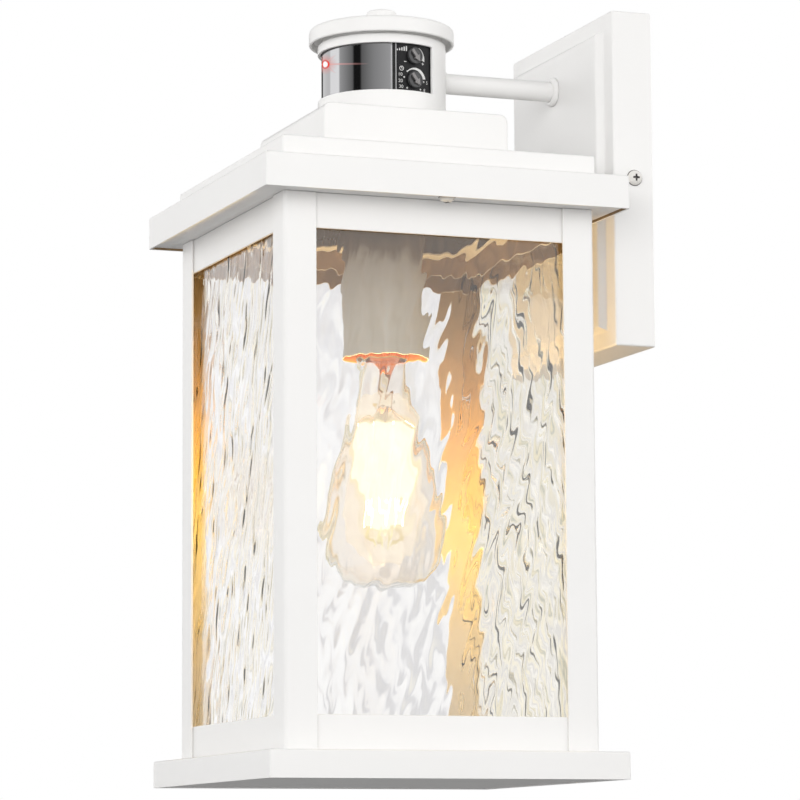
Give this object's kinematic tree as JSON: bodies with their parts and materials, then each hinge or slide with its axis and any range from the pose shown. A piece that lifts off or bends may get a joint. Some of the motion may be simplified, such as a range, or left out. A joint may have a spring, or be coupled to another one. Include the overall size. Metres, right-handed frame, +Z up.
{
  "type": "outdoor wall lantern",
  "caption": "Outdoor wall lantern: white square cage with rippled glass, tiered roof, round motion-sensor head on a tube arm from a wall plate, and a screw-in filament bulb.",
  "frame": {"origin": "on the wall, at the middle of the mounting bracket's back face, which is also the middle of the wall plate", "axes": "+Z up, +Y into the wall, -Y out of the wall towards the viewer, +X to the viewer's right when facing the wall"},
  "size_m": [0.18, 0.2051, 0.3732],
  "materials": {
    "white_paint": "satin powder coat",
    "zinc_steel": "bright zinc plate",
    "earth_screw_green": "gloss",
    "lead_black": "satin insulation",
    "lead_white": "satin insulation",
    "lead_green": "satin insulation",
    "dark_lens": "high gloss, infrared-passing",
    "panel_black": "satin",
    "knob_black": "gloss",
    "component_blue": "moulded",
    "circuit_board": "lacquered laminate",
    "led_red": "clear tinted",
    "sleeve_paint": "satin powder coat",
    "porcelain": "glazed ceramic",
    "brass": "bright",
    "ripple_glass": "clear water-ripple pattern",
    "bulb_glass": "clear",
    "filament": "glowing warm white"
  },
  "bodies": {
    "root": {"wall_plate": "white_paint", "mounting_bracket": "zinc_steel", "side_screw_right": "zinc_steel", "side_screw_left": "zinc_steel", "ground_screw": "earth_screw_green", "arm_tube": "white_paint", "arm_collar_wall": "white_paint", "arm_collar_head": "white_paint", "arm_nut_wall": "zinc_steel", "arm_nut_head": "zinc_steel", "live_lead": "lead_black", "neutral_lead": "lead_white", "earth_lead": "lead_green", "sensor_housing": "white_paint", "sensor_lens": "dark_lens", "control_panel": "panel_black", "sens_pot": "component_blue", "time_pot": "component_blue", "sensor_board": "circuit_board", "pir_sensor": "zinc_steel", "indicator_led": "led_red", "relay": "component_blue", "sensor_cap": "white_paint", "cap_finial": "white_paint", "centre_rod": "zinc_steel", "rod_nut_upper": "zinc_steel", "rod_nut_lower": "zinc_steel", "roof_upper": "white_paint", "roof_middle": "white_paint", "roof_main": "white_paint", "screw_boss_right": "white_paint", "screw_boss_left": "white_paint", "socket_sleeve": "sleeve_paint", "lampholder_strap": "zinc_steel", "lampholder": "porcelain", "screw_shell": "brass", "lamp_live_lead": "lead_black", "lamp_neutral_lead": "lead_white"},
    "sens_knob": {"sens_knob": "knob_black"},
    "time_knob": {"time_knob": "knob_black"},
    "cage": {"soffit_plate": "white_paint", "corner_post_back_right": "white_paint", "corner_post_back_left": "white_paint", "corner_post_front_left": "white_paint", "corner_post_front_right": "white_paint", "top_frame": "white_paint", "bottom_frame": "white_paint", "glass_front": "ripple_glass", "glass_back": "ripple_glass", "glass_right": "ripple_glass", "glass_left": "ripple_glass", "base_tray": "white_paint", "base_plate": "white_paint", "soffit_screw_right": "zinc_steel", "soffit_screw_left": "zinc_steel"},
    "bulb_carrier": {"bulb_contact": "zinc_steel"},
    "bulb": {"bulb_envelope": "bulb_glass", "bulb_cap": "brass", "bulb_stem": "bulb_glass", "bulb_filament": "filament"}
  },
  "joints": [
    {"name": "sens_turn", "type": "hinge", "parent": "root", "child": "sens_knob", "pos_m": [0.02873, -0.10988, 0.0589], "axis": [0.9839, 0.1788, 0], "range_deg": [0, 270]},
    {"name": "time_turn", "type": "hinge", "parent": "root", "child": "time_knob", "pos_m": [0.02873, -0.10988, 0.0472], "axis": [0.9839, 0.1788, 0], "range_deg": [0, 270]},
    {"name": "cage_drop", "type": "slide", "parent": "root", "child": "cage", "axis": [0, 0, -1], "range_m": [0, 0.2]},
    {"name": "bulb_travel", "type": "slide", "parent": "root", "child": "bulb_carrier", "axis": [0, 0, -1], "range_m": [0, 0.01453]},
    {"name": "bulb_turn", "type": "hinge", "parent": "bulb_carrier", "child": "bulb", "pos_m": [0, -0.1151, -0.12], "axis": [0, 0, -1], "range_deg": [0, 1440]}
  ],
  "couplings": [
    {"joint": "bulb_travel", "follows": "bulb_turn", "m_per_rad": 0.00057773}
  ]
}
